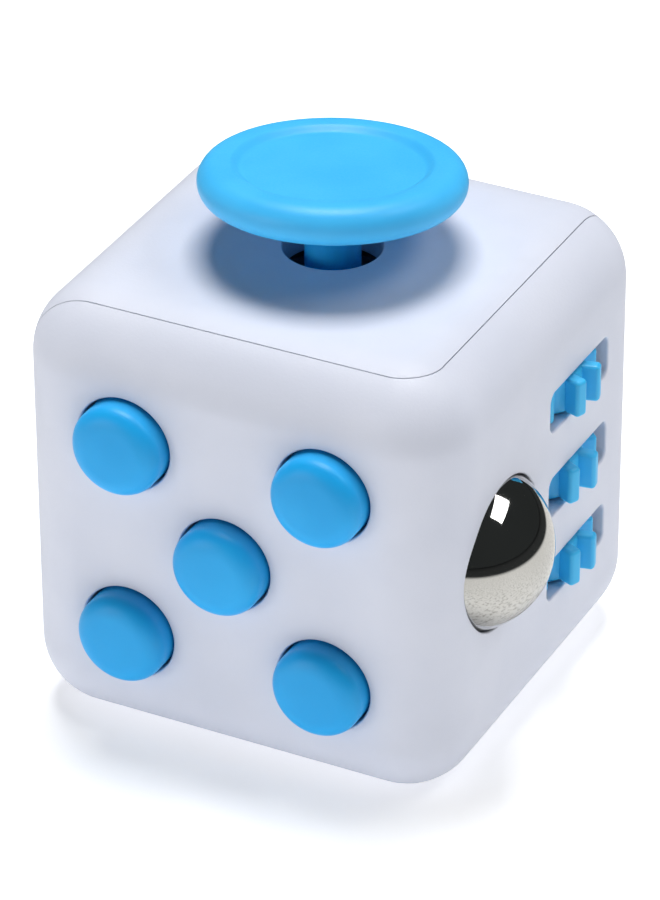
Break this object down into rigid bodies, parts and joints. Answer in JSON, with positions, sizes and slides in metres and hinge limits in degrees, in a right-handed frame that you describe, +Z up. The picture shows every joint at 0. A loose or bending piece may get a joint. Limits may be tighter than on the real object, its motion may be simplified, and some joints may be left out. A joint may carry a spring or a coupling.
{
  "type": "fidget cube",
  "caption": "Palm-sized desk toy cube with push buttons, a tilting thumb pad, a rolling ball, gear wheels, a spinning dial, a rocker switch and a thumb hollow.",
  "frame": {"origin": "centre of the face that the cube stands on", "axes": "+Z up towards the thumb pad, -Y towards the push-button face, +X towards the ball and wheel face"},
  "size_m": [0.0396, 0.0367, 0.0402],
  "materials": {
    "shell_white": "fine-grained moulded white plastic with a cool tint",
    "control_blue": "satin sky-blue moulded plastic",
    "ball_steel": "polished bearing steel",
    "inner_nylon": "natural grey nylon",
    "spring_steel": "bright spring and screw steel"
  },
  "bodies": {
    "casing": {"ball_spring": "spring_steel", "casing_base": "shell_white", "casing_cover": "shell_white", "click_dome_centre": "spring_steel", "click_dome_lower_left": "spring_steel", "click_dome_lower_right": "spring_steel", "click_dome_upper_left": "spring_steel", "click_dome_upper_right": "spring_steel", "click_plate": "inner_nylon", "click_screw_bottom": "spring_steel", "click_screw_left": "spring_steel", "click_screw_top": "spring_steel", "dial_plate": "inner_nylon", "dial_screw_lower": "spring_steel", "dial_screw_upper": "spring_steel", "flip_housing": "inner_nylon", "flip_pin": "spring_steel", "flip_screw_left": "spring_steel", "flip_screw_right": "spring_steel", "flip_track": "spring_steel", "glide_housing": "inner_nylon", "glide_screw_back": "spring_steel", "glide_screw_front": "spring_steel", "glide_screw_left": "spring_steel", "glide_spring": "spring_steel", "roll_frame": "inner_nylon", "roll_screw_ball_lower": "spring_steel", "roll_screw_ball_upper": "spring_steel", "roll_screw_wheel_lower": "spring_steel", "roll_screw_wheel_upper": "spring_steel", "wheel_axle": "spring_steel", "wheel_leaf_bottom": "spring_steel", "wheel_leaf_middle": "spring_steel", "wheel_leaf_top": "spring_steel"},
    "button_centre": {"click_button_centre": "control_blue"},
    "button_upper_left": {"click_button_upper_left": "control_blue"},
    "button_upper_right": {"click_button_upper_right": "control_blue"},
    "button_lower_left": {"click_button_lower_left": "control_blue"},
    "button_lower_right": {"click_button_lower_right": "control_blue"},
    "glide_gimbal": {"glide_ring": "inner_nylon"},
    "glide_stick": {"glide_pad": "control_blue", "glide_stem": "control_blue"},
    "ball_carrier": {"ball_seat": "inner_nylon"},
    "ball": {"roll_ball": "ball_steel"},
    "wheel_top": {"roll_wheel_top": "control_blue"},
    "wheel_middle": {"roll_wheel_middle": "control_blue"},
    "wheel_bottom": {"roll_wheel_bottom": "control_blue"},
    "dial": {"dial_knob": "control_blue", "dial_retainer": "inner_nylon", "dial_hub_screw": "spring_steel"},
    "rocker": {"flip_rocker": "control_blue", "flip_plunger": "inner_nylon"}
  },
  "joints": [
    {"name": "press_centre", "type": "slide", "parent": "casing", "child": "button_centre", "axis": [0, 1, 0], "range_m": [0, 0.001], "stiffness_N_per_m": 600, "deforming": ["click_dome_centre"]},
    {"name": "press_upper_left", "type": "slide", "parent": "casing", "child": "button_upper_left", "axis": [0, 1, 0], "range_m": [0, 0.001], "stiffness_N_per_m": 600, "deforming": ["click_dome_upper_left"]},
    {"name": "press_upper_right", "type": "slide", "parent": "casing", "child": "button_upper_right", "axis": [0, 1, 0], "range_m": [0, 0.001], "stiffness_N_per_m": 600, "deforming": ["click_dome_upper_right"]},
    {"name": "press_lower_left", "type": "slide", "parent": "casing", "child": "button_lower_left", "axis": [0, 1, 0], "range_m": [0, 0.001], "stiffness_N_per_m": 600, "deforming": ["click_dome_lower_left"]},
    {"name": "press_lower_right", "type": "slide", "parent": "casing", "child": "button_lower_right", "axis": [0, 1, 0], "range_m": [0, 0.001], "stiffness_N_per_m": 600, "deforming": ["click_dome_lower_right"]},
    {"name": "glide_tilt_x", "type": "hinge", "parent": "casing", "child": "glide_gimbal", "pos_m": [0, 0, 0.028], "axis": [1, 0, 0], "range_deg": [-11, 11], "stiffness_Nm_per_rad": 0.01, "deforming": ["glide_spring"]},
    {"name": "glide_tilt_y", "type": "hinge", "parent": "glide_gimbal", "child": "glide_stick", "pos_m": [0, 0, 0.028], "axis": [0, 1, 0], "range_deg": [-11, 11], "stiffness_Nm_per_rad": 0.01},
    {"name": "ball_press", "type": "slide", "parent": "casing", "child": "ball_carrier", "axis": [-1, 0, 0], "range_m": [0, 0.0008], "stiffness_N_per_m": 500, "deforming": ["ball_spring"]},
    {"name": "ball_roll", "type": "hinge", "parent": "ball_carrier", "child": "ball", "pos_m": [0.0138, -0.0073, 0.0169], "axis": [0, 0, 1], "continuous": true},
    {"name": "wheel_spin_bottom", "type": "hinge", "parent": "casing", "child": "wheel_bottom", "pos_m": [0.0134, 0.00465, 0.0101], "axis": [0, 0, 1], "continuous": true},
    {"name": "wheel_spin_middle", "type": "hinge", "parent": "casing", "child": "wheel_middle", "pos_m": [0.0134, 0.00465, 0.0169], "axis": [0, 0, 1], "continuous": true},
    {"name": "wheel_spin_top", "type": "hinge", "parent": "casing", "child": "wheel_top", "pos_m": [0.0134, 0.00465, 0.0237], "axis": [0, 0, 1], "continuous": true},
    {"name": "dial_spin", "type": "hinge", "parent": "casing", "child": "dial", "pos_m": [-0.0165, 0, 0.0165], "axis": [-1, 0, 0], "continuous": true},
    {"name": "flip_rock", "type": "hinge", "parent": "casing", "child": "rocker", "pos_m": [0, 0.0135, 0.0165], "axis": [0, 0, 1], "range_deg": [0, 15]}
  ]
}
